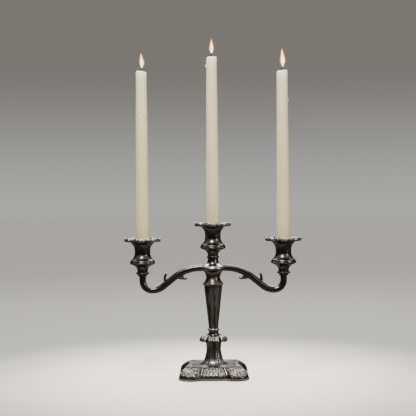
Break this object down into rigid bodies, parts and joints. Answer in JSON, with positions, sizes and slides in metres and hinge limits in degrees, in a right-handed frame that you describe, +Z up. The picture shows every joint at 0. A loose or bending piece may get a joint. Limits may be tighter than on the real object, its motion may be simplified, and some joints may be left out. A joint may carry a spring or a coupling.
{
  "type": "tabletop candelabra",
  "caption": "Low square-based candlestick with a lift-off branch of two curved arms and a raised middle light, each light a vase sconce with a leafy drip pan and a taper candle.",
  "frame": {"origin": "middle of the underside of the base, on the table", "axes": "+Z up the stem; the two arms lie along X, and the side that faces the viewer is -Y"},
  "size_m": [0.2938, 0.115, 0.5345],
  "materials": {
    "silver_plate": "tarnished silver plate over brass, bright on the raised edges, dark in the hollows",
    "bare_brass": "turned brass, dull",
    "bare_plate": "thin unplated sheet",
    "iron": "plain steel",
    "filling": "cast cement",
    "baize": "green baize",
    "wax": "ivory candle wax, slightly translucent",
    "wick": "charred cotton"
  },
  "bodies": {
    "candlestick": {"baize_pad": "baize", "base_plate": "bare_plate", "base_rim": "silver_plate", "base_shell": "silver_plate", "base_loading": "filling", "rod_nut": "iron", "rod_washer": "iron", "tie_rod": "iron", "foot": "silver_plate", "foot_band": "silver_plate", "collar": "silver_plate", "neck": "silver_plate", "neck_ring": "silver_plate", "column": "silver_plate", "shoulder": "silver_plate", "socket": "bare_brass"},
    "spigot": {"branch_spigot": "bare_brass"},
    "branch": {"hub_bell": "silver_plate", "hub": "silver_plate", "centre_neck": "silver_plate", "arm_left": "silver_plate", "arm_right": "silver_plate", "leaf_upper_left": "silver_plate", "leaf_lower_left": "silver_plate", "leaf_upper_right": "silver_plate", "leaf_lower_right": "silver_plate", "ferrule_left": "silver_plate", "ferrule_right": "silver_plate", "sconce_cup_left": "silver_plate", "sconce_vase_left": "silver_plate", "sconce_stud_left": "iron", "sconce_cup_centre": "silver_plate", "sconce_vase_centre": "silver_plate", "sconce_stud_centre": "iron", "sconce_cup_right": "silver_plate", "sconce_vase_right": "silver_plate", "sconce_stud_right": "iron"},
    "nozzle_left": {"nozzle_pan_left": "silver_plate", "nozzle_border_left": "silver_plate"},
    "candle_left": {"candle_wax_left": "wax", "wick_left": "wick"},
    "nozzle_centre": {"nozzle_pan_centre": "silver_plate", "nozzle_border_centre": "silver_plate"},
    "candle_centre": {"candle_wax_centre": "wax", "wick_centre": "wick"},
    "nozzle_right": {"nozzle_pan_right": "silver_plate", "nozzle_border_right": "silver_plate"},
    "candle_right": {"candle_wax_right": "wax", "wick_right": "wick"}
  },
  "joints": [
    {"name": "branch_lift", "type": "slide", "parent": "candlestick", "child": "spigot", "axis": [0, 0, 1], "range_m": [0, 0.035]},
    {"name": "branch_swivel", "type": "hinge", "parent": "spigot", "child": "branch", "pos_m": [0, 0, 0.17], "axis": [0, 0, 1], "continuous": true},
    {"name": "nozzle_lift_left", "type": "slide", "parent": "branch", "child": "nozzle_left", "axis": [0, 0, 1], "range_m": [0, 0.03]},
    {"name": "candle_lift_left", "type": "slide", "parent": "nozzle_left", "child": "candle_left", "axis": [0, 0, 1], "range_m": [0, 0.035]},
    {"name": "nozzle_lift_centre", "type": "slide", "parent": "branch", "child": "nozzle_centre", "axis": [0, 0, 1], "range_m": [0, 0.03]},
    {"name": "candle_lift_centre", "type": "slide", "parent": "nozzle_centre", "child": "candle_centre", "axis": [0, 0, 1], "range_m": [0, 0.035]},
    {"name": "nozzle_lift_right", "type": "slide", "parent": "branch", "child": "nozzle_right", "axis": [0, 0, 1], "range_m": [0, 0.03]},
    {"name": "candle_lift_right", "type": "slide", "parent": "nozzle_right", "child": "candle_right", "axis": [0, 0, 1], "range_m": [0, 0.035]}
  ]
}
